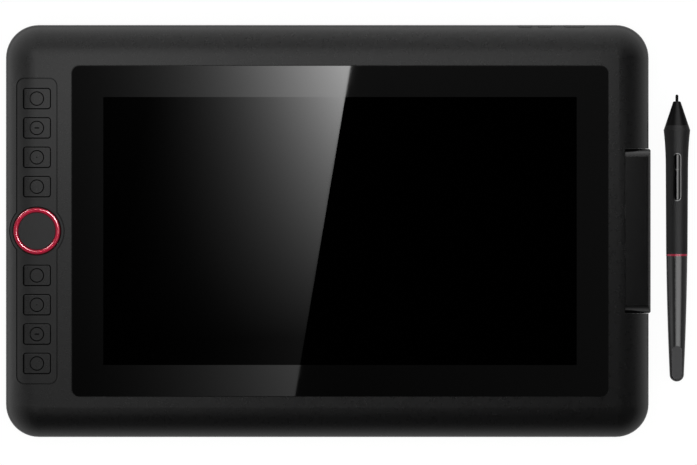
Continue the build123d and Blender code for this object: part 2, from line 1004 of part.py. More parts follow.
def make_dial_ring():
    half = dial_ring_width / 2
    middle = dial_radius - half
    with BuildSketch(Plane.XZ) as section:
        with BuildLine():
            Line((dial_inner, z_dial_ring), (dial_radius, z_dial_ring))
            Line((dial_radius, z_dial_ring), (dial_radius, z_dial_top - half))
            CenterArc((middle, z_dial_top - half), half, 0, 2 * quarter_turn)
            Line((dial_inner, z_dial_top - half), (dial_inner, z_dial_ring))
        make_face()
    return Pos(strip_x, 0, 0) * revolve(section.sketch, Axis.Z)


def make_dial_cap():
    return post(core_radius, z_dial_cap - dial_cap_thickness, z_dial_cap, strip_x)


def make_dial_hub():
    core_top = z_dial_cap - dial_cap_thickness
    hub = post(dial_radius - dial_flange_inset, z_dial_flange, z_dial_ring, strip_x)
    hub += post(core_radius, z_dial_flange, core_top, strip_x)
    return hub - post(shaft_radius + thin, z_dial_flange - cut_over, core_top - shaft_cover, strip_x)


def make_encoder_shaft():
    top = z_dial_cap - dial_cap_thickness - shaft_cover
    return post(shaft_radius, z_key_board + slide_gap, top - thin, strip_x)


def make_encoder_housing():
    body = post(encoder_radius, z_key_board, z_dial_flange - encoder_gap, strip_x)
    return body - post(shaft_radius + bore_gap, z_key_board - thin, z_dial_flange, strip_x)


# Screws

def screw(x, y, z, radius, length, head_radius, head_height, up=True):
    """Head at z on its seat, shank away from it: upwards into a boss, or downwards into a post."""
    turn = 1 if up else -1
    head = post(head_radius, min(z, z - turn * head_height), max(z, z - turn * head_height), x, y)
    end = z + turn * length
    return head + post(radius, min(z - turn * thin, end), max(z - turn * thin, end), x, y)


def make_case_screws():
    seat = z_back + screw_sink
    return separate(
        screw(x, y, seat, screw_radius, screw_length, screw_head_radius, screw_head_height)
        for x, y in boss_places()
    )


def make_board_screws():
    solids = []
    for x, y, low in board_posts():
        thickness = board_thickness if low == z_board_low else key_board_thickness
        length = thickness + small_screw_grip
        solids.append(
            screw(
                x, y, low + thickness, small_screw_radius, length,
                small_head_radius, small_head_height, up=False,
            )
        )
    return separate(solids)


def make_chassis_screws():
    length = chassis_thickness + small_screw_grip
    return separate(
        screw(
            x, y, z_chassis_low, small_screw_radius, length,
            small_head_radius, small_head_height,
        )
        for x, y in chassis_places()
    )


# Pen, in its own frame: the axis is Y, the tip at 0, the tail towards -Y, and the buttons on top

def rod(radius, start, end, x=0.0, z=0.0):
    return Pos(x, -start, z) * Rot(quarter_turn, 0, 0) * Cylinder(
        radius, end - start, align=(Align.CENTER, Align.CENTER, Align.MIN)
    )


def make_pen_nib():
    nib = rod(nib_radius, nib_radius, nib_length)
    return nib + Pos(0, -nib_radius, 0) * Sphere(nib_radius)


def make_pen_nose():
    with BuildSketch(Plane.XY) as section:
        with BuildLine():
            Line((0, -nib_out), (nose_tip_radius, -nib_out))
            Line((nose_tip_radius, -nib_out), (nose_base_radius, -nose_end))
            Line((nose_base_radius, -nose_end), (0, -nose_end))
            Line((0, -nose_end), (0, -nib_out))
        make_face()
    nose = revolve(section.sketch, Axis.Y)
    nose = fillet(nose.edges().group_by(Axis.Y)[-1], nose_tip_round)
    nose += rod(pen_bore - seat_gap, nose_end - thin, nose_end + spigot_length)
    nose -= rod(nib_radius + bore_gap, nib_out - cut_over, nose_end)
    coil_at = nib_out + coil_start
    return nose - rod(coil_radius + thin, coil_at, nose_end + spigot_length + cut_over)


def make_pen_coil():
    start = nib_out + coil_start
    coil = rod(coil_radius, start, start + coil_length)
    return coil - rod(nib_radius + 2 * seat_gap, start - cut_over, start + coil_length + cut_over)


def grip_solid(offset):
    """The front barrel's outer shape, grown or shrunk by an offset."""
    with BuildSketch(Plane.XY) as section:
        with BuildLine():
            Line((0, -nose_end), (nose_base_radius + offset, -nose_end))
            Line((nose_base_radius + offset, -nose_end), (flare_radius + offset, -flare_at))
            Bezier(
                (flare_radius + offset, -flare_at), (bend_radius + offset, -bend_at),
                (waist_radius + offset, -waist_at),
            )
            Line((waist_radius + offset, -waist_at), (grip_end_radius + offset, -grip_end))
            Line((grip_end_radius + offset, -grip_end), (0, -grip_end))
            Line((0, -grip_end), (0, -nose_end))
        make_face()
    return revolve(section.sketch, Axis.Y)


def rocker_prism(width, length, z0, z1):
    return Pos(0, -rocker_middle, 0) * stadium(width, length, z0, z1)


rocker_pivot_at = rocker_start + rocker_divide
rocker_middle = rocker_start + rocker_length / 2
rocker_top = waist_radius - barrel_taper * (rocker_middle - waist_at) + rocker_rise
rocker_pin_z = rocker_top - rocker_pin_drop
rocker_low = rocker_top - rocker_depth
pin_half = rocker_slot_width / 2 + rocker_pin_bite


def cross_pin(radius, half):
    return Pos(0, -rocker_pivot_at, rocker_pin_z) * Rot(0, quarter_turn, 0) * Cylinder(radius, 2 * half)


def make_pen_grip():
    top = flare_radius + cut_over
    grip = grip_solid(0) - rod(pen_bore, nose_end - cut_over, grip_end + cut_over)
    grip -= rocker_prism(rocker_slot_width, rocker_length, 0, top)
    ring = rocker_prism(rocker_slot_width + 2 * bezel_width, rocker_length + 2 * bezel_width, 0, top)
    grip -= ring - grip_solid(-bezel_depth)
    return grip - cross_pin(rocker_pin_radius + thin, pin_half + thin)


def make_pen_rocker_bezel():
    top = flare_radius + cut_over
    ring = rocker_prism(
        rocker_slot_width + 2 * (bezel_width - thin), rocker_length + 2 * (bezel_width - thin), 0, top
    )
    ring -= rocker_prism(rocker_slot_width, rocker_length, 0, top)
    return (ring & grip_solid(bezel_proud)) - grip_solid(-bezel_depth)


def make_pen_rocker():
    """A long rocker with a domed top, a groove across it at its pivot and a bore for its pin."""
    width = rocker_slot_width - 2 * rocker_gap
    length = rocker_length - 2 * rocker_gap
    body = rocker_prism(width, length, rocker_low, rocker_top)
    middle = rocker_top - rocker_round
    dome = rod(rocker_round, rocker_start, rocker_start + rocker_length, z=middle)
    dome += block(
        -width, width, -rocker_start - rocker_length, -rocker_start, rocker_low - thin, middle
    )
    body = body & dome
    half = rocker_groove / 2
    body -= block(
        -width, width, -rocker_pivot_at - half, -rocker_pivot_at + half,
        rocker_top - rocker_groove, rocker_top,
    )
    return body - cross_pin(rocker_pin_radius + bore_gap, width)


def make_pen_rocker_pin():
    return cross_pin(rocker_pin_radius, pin_half)


def make_pen_accent_ring():
    ring = rod(grip_end_radius, grip_end, tail_start)
    return ring - rod(pen_bore, grip_end - cut_over, tail_start + cut_over)


def tail_solid():
    """The rear barrel's outer shape: a slow taper with a rounded end."""
    with BuildSketch(Plane.XY) as section:
        with BuildLine():
            Line((0, -tail_start), (tail_start_radius, -tail_start))
            Bezier(
                (tail_start_radius, -tail_start), (tail_bend_radius, -tail_middle),
                (tail_end_radius, -tail_end),
            )
            EllipticalCenterArc(
                (0, -tail_end), tail_end_radius, tail_tip_length, 0, arc_size=-quarter_turn
            )
            Line((0, -pen_end), (0, -tail_start))
        make_face()
    return revolve(section.sketch, Axis.Y)


def end_plate_prism(margin, depth, height):
    """A round-ended prism standing on the flat of the tail, from depth below it to height above."""
    half = end_plate_width / 2
    first = end_plate_start + half
    levels = [math.sqrt(tail_radius(s) ** 2 - half ** 2) for s in (first, tail_end)]
    slope = math.atan2(levels[0] - levels[1], tail_end - first)
    length = pen_end - end_plate_margin - end_plate_start
    outline = Rot(0, 0, quarter_turn) * SlotOverall(
        length + 2 * margin, end_plate_width + 2 * margin
    )
    middle = end_plate_start + length / 2
    level = levels[0] - (middle - first) * math.tan(slope)
    face = Pos(0, 0, -depth) * extrude(outline, amount=depth + height)
    return Pos(0, -middle, level) * Rot(math.degrees(slope), 0, 0) * face


def make_pen_tail():
    tail = tail_solid()
    tail += rod(pen_bore - seat_gap, grip_end - spigot_length, tail_start + thin)
    tail -= rod(tail_bore, grip_end - spigot_length - cut_over, tail_start + tail_bore_length)
    return tail - end_plate_prism(thin, end_plate_thickness, cut_over)


def make_pen_end_plate():
    return end_plate_prism(0, end_plate_thickness, 0) & tail_solid()


def make_pen_pressure_sensor():
    return rod(pen_bore - seat_gap, pressure_start, pen_board_start)


def make_pen_rocker_switches():
    """Two switches on the pen's board, one under either end of the rocker."""
    top = rocker_low - rocker_length * math.sin(math.radians(rocker_tilt)) - seat_gap
    half = rocker_switch_side / 2
    near = rocker_start + rocker_switch_inset
    far = rocker_start + rocker_length - rocker_switch_inset
    return separate(
        block(-half, half, -s - half, -s + half, pen_board_thickness / 2, top)
        for s in (near, far)
    )


def make_pen_board():
    half = pen_board_width / 2
    end = pen_board_start + pen_board_length
    thick = pen_board_thickness / 2
    return block(-half, half, -end, -pen_board_start, -thick, thick)


# Everything, by name

def tablet_nodes():
    outer = face_slab(0)
    strip_floor = face_slab(strip_thickness)
    cavity = face_slab(face_wall)
    raised = face_slab(-key_proud)
    lowered = face_slab(key_mark_depth - key_proud)
    roof = face_slab(face_wall + seat_gap)
    screen_column, sensor_column = ribbon_columns()
    nodes = {
        "top_case": make_top_case(outer, strip_floor, cavity),
        "rear_cover": make_rear_cover(back_slab(0), back_slab(back_wall)),
        "key_panel": make_key_panel(outer, strip_floor),
        "cover_glass": make_cover_glass(),
        "screen_mask": make_screen_mask(),
        "glass_tape": make_glass_tape(),
        "lcd_panel": make_lcd_panel(),
        "light_guide": make_light_guide(),
        "led_strip": make_led_strip(),
        "backlight_tray": make_backlight_tray(),
        "sensor_board": make_sensor_board(),
        "shield_plate": make_shield_plate(),
        "chassis_plate": make_chassis_plate(),
        "main_board": make_main_board(),
        "board_chips": make_board_chips(),
        "usb_socket_upper": make_socket(socket_places()[0]),
        "usb_socket_lower": make_socket(socket_places()[1]),
        "key_board": make_key_board(),
        "key_domes": make_key_domes(),
        "side_board": make_side_board(),
        "side_switches": make_side_switches(),
        "key_ribbon": make_key_ribbon(),
        "panel_ribbon": make_drop_ribbon(screen_column, -tray_depth / 2, z_guide),
        "sensor_ribbon": make_drop_ribbon(sensor_column, -sensor_depth / 2, z_sensor),
        "case_screws": make_case_screws(),
        "board_screws": make_board_screws(),
        "chassis_screws": make_chassis_screws(),
        "foot_near": make_foot(foot_places()[0]),
        "foot_far": make_foot(foot_places()[1]),
        "encoder_housing": make_encoder_housing(),
        "encoder_shaft": make_encoder_shaft(),
        "dial_hub": make_dial_hub(),
        "dial_ring": make_dial_ring(),
        "dial_cap": make_dial_cap(),
        "port_cover": make_port_cover(),
        "badge_plate": make_badge_plate(),
    }
    for number, y in enumerate(key_places(), start=1):
        nodes[f"key_{number}"] = make_key(number, y, raised, lowered, roof)
    raised_edge = face_slab(-edge_button_proud)
    for name, x, width in edge_buttons():
        nodes[name] = make_edge_button(x, width, raised_edge)
    return nodes


def pen_nodes():
    return {
        "pen_nib": make_pen_nib(),
        "pen_nose": make_pen_nose(),
        "pen_coil": make_pen_coil(),
        "pen_pressure_sensor": make_pen_pressure_sensor(),
        "pen_board": make_pen_board(),
        "pen_grip": make_pen_grip(),
        "pen_rocker_switches": make_pen_rocker_switches(),
        "pen_rocker": make_pen_rocker(),
        "pen_rocker_pin": make_pen_rocker_pin(),
        "pen_rocker_bezel": make_pen_rocker_bezel(),
        "pen_accent_ring": make_pen_accent_ring(),
        "pen_tail": make_pen_tail(),
        "pen_end_plate": make_pen_end_plate(),
    }


def all_nodes():
    nodes = tablet_nodes()
    for name, shape in pen_nodes().items():
        nodes[name] = pen_place * shape
    return {name: Pos(-origin_x, 0, 0) * shape for name, shape in nodes.items()}


os.makedirs("parts", exist_ok=True)
for node_name, node_shape in all_nodes().items():
    export_step(node_shape, f"parts/{node_name}.step")
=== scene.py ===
import json
import math

import bmesh
import bpy
from mathutils import Matrix, Vector


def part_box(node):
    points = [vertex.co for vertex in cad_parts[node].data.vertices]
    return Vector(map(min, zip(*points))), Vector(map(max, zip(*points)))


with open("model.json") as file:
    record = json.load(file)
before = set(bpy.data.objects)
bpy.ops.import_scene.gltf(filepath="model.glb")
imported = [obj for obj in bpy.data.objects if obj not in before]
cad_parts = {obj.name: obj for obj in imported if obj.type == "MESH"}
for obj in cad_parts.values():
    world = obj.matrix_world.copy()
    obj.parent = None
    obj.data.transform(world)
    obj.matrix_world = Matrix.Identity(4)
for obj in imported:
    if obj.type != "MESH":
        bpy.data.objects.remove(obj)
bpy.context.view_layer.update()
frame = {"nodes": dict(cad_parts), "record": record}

# A pen display lies on a white table with its pen beside it, seen from straight above.
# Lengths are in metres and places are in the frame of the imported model.

MM = 0.001
nodes = frame["nodes"]
pen_names = [name for name in nodes if name.startswith("pen_")]

# Frame of the picture on the tablet's face, measured from the tablet's middle
VIEW_WIDTH = 422.6 * MM
VIEW_RIGHT = 12.87 * MM
VIEW_UP = -0.9 * MM
LENS_MM = 600.0
SENSOR_MM = 36.0
CLIP_RANGE = 100.0

# The screen: an ink border round the panel, under glass with faint smears
PANEL_WIDTH = 287.0 * MM
PANEL_DEPTH = 162.5 * MM
INK_BLACK = 0.0015
PANEL_BLACK = 0.0001
GLASS_ROUGHNESS = 0.02
SMEARED_ROUGHNESS = 0.032
SMEAR_PATCH = 30.0 * MM
SMEAR_RANGE = (0.35, 0.65)

# Light that is seen directly or falls on dull surfaces is plain, which shows a colour as it is written
PLAIN_LIGHT = 1.0
WHITE = 1.0

# Light that shiny surfaces see round the table: none overhead, most at the horizon and from the far left
RING_LIGHT = 1.45
LIGHT_FROM_LEFT = 0.25
LIGHT_FROM_FAR = 0.45
SIDE_LIGHT_FULL = 0.3

# Share of the floor that takes light and shadow; the rest glows white, but not under the object, where the
# glow fades out as a painted shadow
FLOOR_SHADE_SHARE = 0.08
FLOOR_WHITE = 0.95
FLOOR_GLOW = 1.02
FLOOR_SIZE = 60.0
CASE_CORNER = 20.0 * MM
DARK_BELOW_FROM = 0.3 * MM
DARK_BELOW_TO = 2.5 * MM
DARK_BELOW_LEAST = 0.03

# The softbox above the case, in radiance at its four corners
CASE_BOX_HEIGHT = 0.16
CASE_BOX_MARGIN = 8.0 * MM
CASE_BOX_MARGIN_RIGHT = -12.0 * MM
CASE_BOX_FAR_LEFT = 1.52
CASE_BOX_FAR_RIGHT = 1.00
CASE_BOX_NEAR_LEFT = 0.42
CASE_BOX_NEAR_RIGHT = 0.02
CASE_BOX_FALL_POWER = 2.0

# The bright sheet mirrored in the glass: its light falls off to the left, ever faster, and towards the user
SHEET_HEIGHT = 0.5
SHEET_LIGHT = 9.4
SHEET_FALL_LEFT = 58.0 * MM
SHEET_FALL_FASTER = 103.0 * MM
SHEET_FASTER_POWER = 2.0
SHEET_FALL_NEAR = 83.0 * MM
SHEET_EDGE_FAR = (2.1 * MM, 106.0 * MM)
SHEET_EDGE_NEAR = (-33.6 * MM, -106.0 * MM)
SHEET_LEFT = -175.0 * MM

# Painted reflection: the film over the panel mirrors less and less to the left of that sheet's edge and
# towards the user, and not at all to its right
PANEL_MIRROR_LEFT = 120.0 * MM
PANEL_MIRROR_FAR = 24.0 * MM
PANEL_MIRROR_NEAR = 170.0 * MM
PANEL_MIRROR_LEAST = 0.12

# The far weaker sheet mirrored to the right of it, in radiance at its four corners
DIM_SHEET_RIGHT = 170.0 * MM
DIM_SHEET_FAR_LEFT = 0.065
DIM_SHEET_FAR_RIGHT = 0.080
DIM_SHEET_NEAR_LEFT = 0.005
DIM_SHEET_NEAR_RIGHT = 0.055

# Cards that glow in the reflections of the pen or of the dial's ring alone: direction on the table,
# angle from straight up, distance, half their size across and up, and radiance at their middle
CARD_FADE_FROM = 0.25
PEN_CARDS = (
    ("above", 90.0, 15.5, 0.50, 0.90, 0.46, 13.0),
    ("far", 8.0, 56.0, 0.50, 0.46, 0.40, 5.0),
    ("left", 270.0, 70.0, 0.0117, 0.12, 0.008, 2.0),
)
PEN_SKIN = (
    "pen_nib", "pen_nose", "pen_grip", "pen_rocker", "pen_rocker_bezel", "pen_accent_ring", "pen_tail",
    "pen_end_plate",
)
DIAL_CARDS = (
    ("far_right", 45.0, 28.0, 0.50, 0.20, 0.20, 150.0),
    ("far_left", 320.0, 70.0, 0.50, 0.20, 0.20, 60.0),
)
RING_WIDTH = 3.4 * MM
# Width of the painted shade at each edge of the dial's ring
RING_SHADE_EDGE = 1.1 * MM

# The seam round the key strip and its bulge is painted dark as shade, but only near the top of the case
STRIP_WIDTH = 24.3 * MM
STRIP_CORNER = 4.7 * MM
SEAM_BLACK = 0.12 * MM
SEAM_CLEAR = 0.45 * MM
SEAM_REACH = 6.0 * MM
SEAM_DARKNESS = 0.55

# Walls are painted black as shade up to the first and left clear from the second share of their normal that
# points up, and the gaps of the keys are left clear down to the first depth and painted black as shade from
# the second
STRIP_WALLS = (0.75, 0.97)
KEY_WALLS = (0.70, 0.95)
GAP_CLEAR = 0.20 * MM
GAP_BLACK = 0.40 * MM

# The pen's rocker and its bezel are painted black as shade up to the first and left clear from the second
# share of their normal that points right, so where they lean left
LEFT_FLANK = (-0.35, -0.10)

# Size of the grain on the key strip and its keys, and depths of the grain on the pen's smooth pieces
KEY_GRAIN = 0.25 * MM
SATIN_DEPTH = 0.001 * MM
GLOSS_DEPTH = 0.0006 * MM
POLISH_DEPTH = 0.0005 * MM

# Tracks of a circuit board
TRACK_CELL = 1.6 * MM
TRACK_RANDOMNESS = 0.4
TRACK_EDGE = (0.04, 0.09)
TRACK_HEIGHT = 0.02 * MM
TRACK_ROUGHNESS = 0.25
MASK_ROUGHNESS = 0.35

# Stretch of a metal's grain: streaks of a brush along one axis, or the windings of a wire
BRUSHED_ALONG_X = (0.1, 1.0, 1.0)
BRUSHED_ALONG_Y = (1.0, 0.1, 1.0)
WOUND_ROUND_Y = (1.0, 20.0, 1.0)

# What counts as low and as high in noise, and the gloss of plain plastic or glass
NOISE_RANGE = (0.3, 0.7)
PLAIN_IOR = 1.5
PLAIN_SPECULAR = 0.5

# Sockets of the mix node, by the kind of value it mixes, and the factor that flattens a vector
MIX_SHARE = 0
MIX_NUMBERS = (2, 3)
MIX_NUMBER_OUT = 0
MIX_COLOURS = (6, 7)
MIX_COLOUR_OUT = 2
FLAT = (1.0, 1.0, 0.0)
ORIGIN = (0.0, 0.0, 0.0)


# Small helpers

def middle(node):
    low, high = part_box(node)
    return (low + high) / 2


def size_of(node):
    low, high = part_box(node)
    return high - low


def grey(level):
    return (level, level, level, 1.0)


def colour(red, green, blue):
    return (red, green, blue, 1.0)


def scaled(base, factor):
    return tuple(share * factor for share in base[:3]) + (1.0,)


def link_to_scene(item):
    bpy.context.scene.collection.objects.link(item)
    return item


# The view

case_low, case_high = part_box("top_case")
tablet = (case_low + case_high) / 2
face_z = case_high.z
view_centre = Vector((tablet.x + VIEW_RIGHT, tablet.y + VIEW_UP, face_z))
view_distance = VIEW_WIDTH * LENS_MM / SENSOR_MM


def make_camera():
    """A long lens high above the tablet, which hardly sees the sides of the case."""
    data = bpy.data.cameras.new("photo_camera")
    data.lens = LENS_MM
    data.sensor_width = SENSOR_MM
    data.clip_start = view_distance / CLIP_RANGE
    data.clip_end = view_distance * CLIP_RANGE
    camera = link_to_scene(bpy.data.objects.new("photo_camera", data))
    camera.location = view_centre + Vector((0, 0, view_distance))
    bpy.context.scene.camera = camera


# Node trees

def add(tree, kind, inputs=None, **settings):
    """Adds a shader node; inputs that are sockets are linked and the others are set."""
    new = tree.nodes.new(kind)
    for name, value in settings.items():
        setattr(new, name, value)
    for name, value in (inputs or {}).items():
        socket = new.inputs[name]
        if isinstance(value, bpy.types.NodeSocket):
            tree.links.new(value, socket)
        else:
            socket.default_value = value
    return new


def maths(tree, operation, first, second=None):
    inputs = {0: first}
    if second is not None:
        inputs[1] = second
    return add(tree, "ShaderNodeMath", inputs, operation=operation).outputs[0]


def vector_maths(tree, operation, first, second=None):
    inputs = {0: first}
    if second is not None:
        inputs[1] = second
    outputs = add(tree, "ShaderNodeVectorMath", inputs, operation=operation).outputs
    return outputs["Value"] if operation == "LENGTH" else outputs["Vector"]


def axes_of(tree, vector):
    return add(tree, "ShaderNodeSeparateXYZ", {0: vector}).outputs


def blend_colours(tree, share, first, second):
    low, high = MIX_COLOURS
    mix = add(tree, "ShaderNodeMix", {MIX_SHARE: share, low: first, high: second}, data_type="RGBA")
    return mix.outputs[MIX_COLOUR_OUT]


def blend_numbers(tree, share, first, second):
    low, high = MIX_NUMBERS
    mix = add(tree, "ShaderNodeMix", {MIX_SHARE: share, low: first, high: second}, data_type="FLOAT")
    return mix.outputs[MIX_NUMBER_OUT]


def spread(tree, value, low, high, to_low, to_high, kind="LINEAR"):
    """Turns the range from low to high into another range, and keeps to its ends outside it."""
    inputs = {"Value": value, "From Min": low, "From Max": high, "To Min": to_low, "To Max": to_high}
    return add(tree, "ShaderNodeMapRange", inputs, interpolation_type=kind).outputs["Result"]


def swayed(tree, pattern, level, swing):
    """A level that noise sways to either side."""
    return spread(tree, pattern, *NOISE_RANGE, level - swing, level + swing)


def place_on_object(tree):
    return add(tree, "ShaderNodeTexCoord").outputs["Object"]


def share_of_normal(tree, axis):
    """How far the surface faces along an axis of its object, from -1 to 1."""
    return axes_of(tree, add(tree, "ShaderNodeTexCoord").outputs["Normal"])[axis]


def noise(tree, place, patch, detail=2.0):
    """Noise with patches of the given size."""
    inputs = {"Vector": place, "Scale": 1 / patch, "Detail": detail}
    return add(tree, "ShaderNodeTexNoise", inputs).outputs["Fac"]


def stretched(tree, place, stretch):
    return add(tree, "ShaderNodeMapping", {"Vector": place, "Scale": stretch}).outputs["Vector"]


def bumped(tree, height, depth):
    inputs = {"Height": height, "Distance": depth, "Strength": 1.0}
    return add(tree, "ShaderNodeBump", inputs).outputs["Normal"]


def new_material(name):
    material = bpy.data.materials.new(name)
    material.use_nodes = True
    tree = material.node_tree
    tree.nodes.clear()
    return material, tree


def finish_material(tree, shader):
    add(tree, "ShaderNodeOutputMaterial", {"Surface": shader})


def offset_on_table(tree, place, centre):
    """The way from a centre to a place, seen from above."""
    return vector_maths(tree, "MULTIPLY", vector_maths(tree, "SUBTRACT", place, tuple(centre)), FLAT)


def distance_to_outline(tree, place, centre, half, radius):
    """Distance on the table from a rounded rectangle's outline, below zero inside it."""
    span = vector_maths(tree, "ABSOLUTE", offset_on_table(tree, place, centre))
    beyond = vector_maths(tree, "SUBTRACT", span, (half.x - radius, half.y - radius, 0.0))
    outside = vector_maths(tree, "LENGTH", vector_maths(tree, "MAXIMUM", beyond, ORIGIN))
    axes = axes_of(tree, beyond)
    inside = maths(tree, "MINIMUM", maths(tree, "MAXIMUM", axes["X"], axes["Y"]), 0.0)
    return maths(tree, "SUBTRACT", maths(tree, "ADD", outside, inside), radius)


# Masks of painted shade, where the surface is painted black: each is 1 there and 0 elsewhere

def painted_wall_shade(tree, upright, lying):
    """Painted shade on the surfaces that stand upright, by how far their normal points up."""
    return spread(tree, share_of_normal(tree, "Z"), upright, lying, 1.0, 0.0)


def painted_seam_shade(tree, place):
    """Painted shade along the outline of the key strip, only partly black, and none of it far below the top
    of the case.
    """
    centre = middle("key_panel")
    half = size_of("key_panel") / 2
    strip = distance_to_outline(tree, place, centre, Vector((STRIP_WIDTH / 2, half.y, 0)), STRIP_CORNER)
    bulge = distance_to_outline(tree, place, centre, Vector((half.x, half.x, 0)), half.x)
    away = maths(tree, "ABSOLUTE", maths(tree, "MINIMUM", strip, bulge))
    seam = spread(tree, away, SEAM_BLACK, SEAM_CLEAR, SEAM_DARKNESS, 0.0)
    height = axes_of(tree, place)["Z"]
    return maths(tree, "MULTIPLY", seam, maths(tree, "GREATER_THAN", height, face_z - SEAM_REACH))


def painted_seam_and_wall_shade(tree, place):
    """Painted shade in the seam of the key strip and on the upright walls round its keys."""
    return maths(tree, "MAXIMUM", painted_wall_shade(tree, *STRIP_WALLS), painted_seam_shade(tree, place))


def painted_key_gap_shade(tree, place):
    """Painted shade on the walls of the keys and on what lies down in their gaps, rings and marks."""
    height = axes_of(tree, place)["Z"]
    low = spread(tree, height, face_z - GAP_BLACK, face_z - GAP_CLEAR, 1.0, 0.0)
    return maths(tree, "MAXIMUM", painted_wall_shade(tree, *KEY_WALLS), low)


def painted_left_flank_shade(tree, place):
    """Painted shade on the surfaces that lean to the left."""
    return spread(tree, share_of_normal(tree, "X"), *LEFT_FLANK, 1.0, 0.0)


# Materials

def moulded(name, base, roughness, grain=0.35 * MM, depth=0.002 * MM, mottle=2.5 * MM,
            colour_swing=0.10, roughness_swing=0.012, ior=PLAIN_IOR, painted_shade=None):
    """Moulded plastic: a faint fine grain over a slow change of tone and gloss, with painted shade that turns
    its crevices black and takes their reflection away.
    """
    material, tree = new_material(name)
    place = place_on_object(tree)
    patches = noise(tree, place, mottle, detail=3.0)
    fine = noise(tree, place, grain)
    tone = blend_colours(tree, patches, scaled(base, 1 - colour_swing), scaled(base, 1 + colour_swing))
    inputs = {
        "Base Color": tone,
        "Roughness": swayed(tree, patches, roughness, roughness_swing),
        "IOR": ior,
        "Normal": bumped(tree, fine, depth),
    }
    # Painted shade: where the mask is 1 the colour goes black and the reflection goes
    if painted_shade is not None:
        share = painted_shade(tree, place)
        inputs["Base Color"] = blend_colours(tree, share, tone, grey(0.0))
        inputs["Specular IOR Level"] = spread(tree, share, 0.0, 1.0, PLAIN_SPECULAR, 0.0)
    shader = add(tree, "ShaderNodeBsdfPrincipled", inputs)
    finish_material(tree, shader.outputs[0])
    return material


def metal(name, base, roughness, stretch=(1.0, 1.0, 1.0), grain=0.4 * MM, depth=0.002 * MM,
          mottle=3.0 * MM, colour_swing=0.08, roughness_swing=0.06):
    """Bare or plated metal, brushed where the grain is stretched along one direction."""
    material, tree = new_material(name)
    place = place_on_object(tree)
    fine = noise(tree, stretched(tree, place, stretch), grain, detail=3.0)
    patches = noise(tree, place, mottle)
    shader = add(tree, "ShaderNodeBsdfPrincipled", {
        "Base Color": blend_colours(tree, patches, scaled(base, 1 - colour_swing), base),
        "Metallic": 1.0,
        "Roughness": swayed(tree, fine, roughness, roughness_swing),
        "Normal": bumped(tree, fine, depth),
    })
    finish_material(tree, shader.outputs[0])
    return material


def turned_ring(name, base, roughness, centre, outer_radius, metallic=0.01, ior=1.05, anisotropy=0.5,
                coat=0.22, coat_roughness=0.16, ring_pitch=0.12 * MM, depth=0.0002 * MM,
                mottle=4.0 * MM, colour_swing=0.10, roughness_swing=0.03, edge_shade_share=0.12):
    """A ring turned on a lathe and dyed: fine rings round its axis under a clear coat, with painted shade
    darkening both edges.
    """
    material, tree = new_material(name)
    place = place_on_object(tree)
    radius = vector_maths(tree, "LENGTH", offset_on_table(tree, place, centre))
    rings = noise(tree, add(tree, "ShaderNodeCombineXYZ", {"X": radius}).outputs[0], ring_pitch)
    patches = noise(tree, place, mottle)
    tone = blend_colours(tree, patches, scaled(base, 1 - colour_swing), base)
    # Painted shade: the colour darkens towards both edges of the ring
    from_crest = maths(tree, "ABSOLUTE", maths(tree, "SUBTRACT", radius, outer_radius - RING_WIDTH / 2))
    clear = spread(tree, from_crest, RING_WIDTH / 2, RING_WIDTH / 2 - RING_SHADE_EDGE, 0.0, 1.0, "SMOOTHSTEP")
    shader = add(tree, "ShaderNodeBsdfPrincipled", {
        "Base Color": blend_colours(tree, clear, scaled(base, edge_shade_share), tone),
        "Metallic": metallic,
        "IOR": ior,
        "Roughness": swayed(tree, rings, roughness, roughness_swing),
        "Coat Weight": coat,
        "Coat Roughness": coat_roughness,
        "Anisotropic": anisotropy,
        "Tangent": add(tree, "ShaderNodeTangent", direction_type="RADIAL", axis="Z").outputs[0],
        "Normal": bumped(tree, rings, depth),
    })
    finish_material(tree, shader.outputs[0])
    return material


def rubber(name, base, roughness, grain=0.18 * MM, depth=0.004 * MM, mottle=4.0 * MM,
           colour_swing=0.12, roughness_swing=0.04, ior=PLAIN_IOR):
    """Soft rubber: a very fine grain over a slow change of tone and gloss."""
    material, tree = new_material(name)
    place = place_on_object(tree)
    fine = noise(tree, place, grain, detail=3.0)
    patches = noise(tree, place, mottle, detail=3.0)
    shader = add(tree, "ShaderNodeBsdfPrincipled", {
        "Base Color": blend_colours(tree, patches, scaled(base, 1 - colour_swing), base),
        "Roughness": swayed(tree, patches, roughness, roughness_swing),
        "IOR": ior,
        "Normal": bumped(tree, fine, depth),
    })
    finish_material(tree, shader.outputs[0])
    return material


def inside_share(tree, value, centre, half):
    """1 where value is within half of centre, and 0 outside."""
    distance = maths(tree, "ABSOLUTE", maths(tree, "SUBTRACT", value, centre))
    return maths(tree, "LESS_THAN", distance, half)


def sheet_places(tree, x, y):
    """How far a place lies left of the slanted sheet's edge, and how far from its far end."""
    slant = (SHEET_EDGE_FAR[0] - SHEET_EDGE_NEAR[0]) / (SHEET_EDGE_FAR[1] - SHEET_EDGE_NEAR[1])
    from_far = maths(tree, "SUBTRACT", SHEET_EDGE_FAR[1], y)
    edge = maths(tree, "SUBTRACT", SHEET_EDGE_FAR[0], maths(tree, "MULTIPLY", from_far, slant))
    return maths(tree, "SUBTRACT", edge, x), from_far


def painted_film_reflection(tree, axes):
    """Painted reflection: how strongly the film over the panel mirrors, less and less away from the bright
    sheet's edge, and not at all right of it.
    """
    from_edge, from_far = sheet_places(tree,
                                       maths(tree, "SUBTRACT", axes["X"], view_centre.x),
                                       maths(tree, "SUBTRACT", axes["Y"], view_centre.y))
    left_share = spread(tree, from_edge, 0.0, PANEL_MIRROR_LEFT, 1.0, PANEL_MIRROR_LEAST)
    near_share = spread(tree, from_far, PANEL_MIRROR_FAR, PANEL_MIRROR_NEAR, 1.0, PANEL_MIRROR_LEAST)
    lit = maths(tree, "GREATER_THAN", from_edge, 0.0)
    return maths(tree, "MULTIPLY", maths(tree, "MULTIPLY", left_share, near_share),
                 maths(tree, "MULTIPLY", lit, PLAIN_SPECULAR))


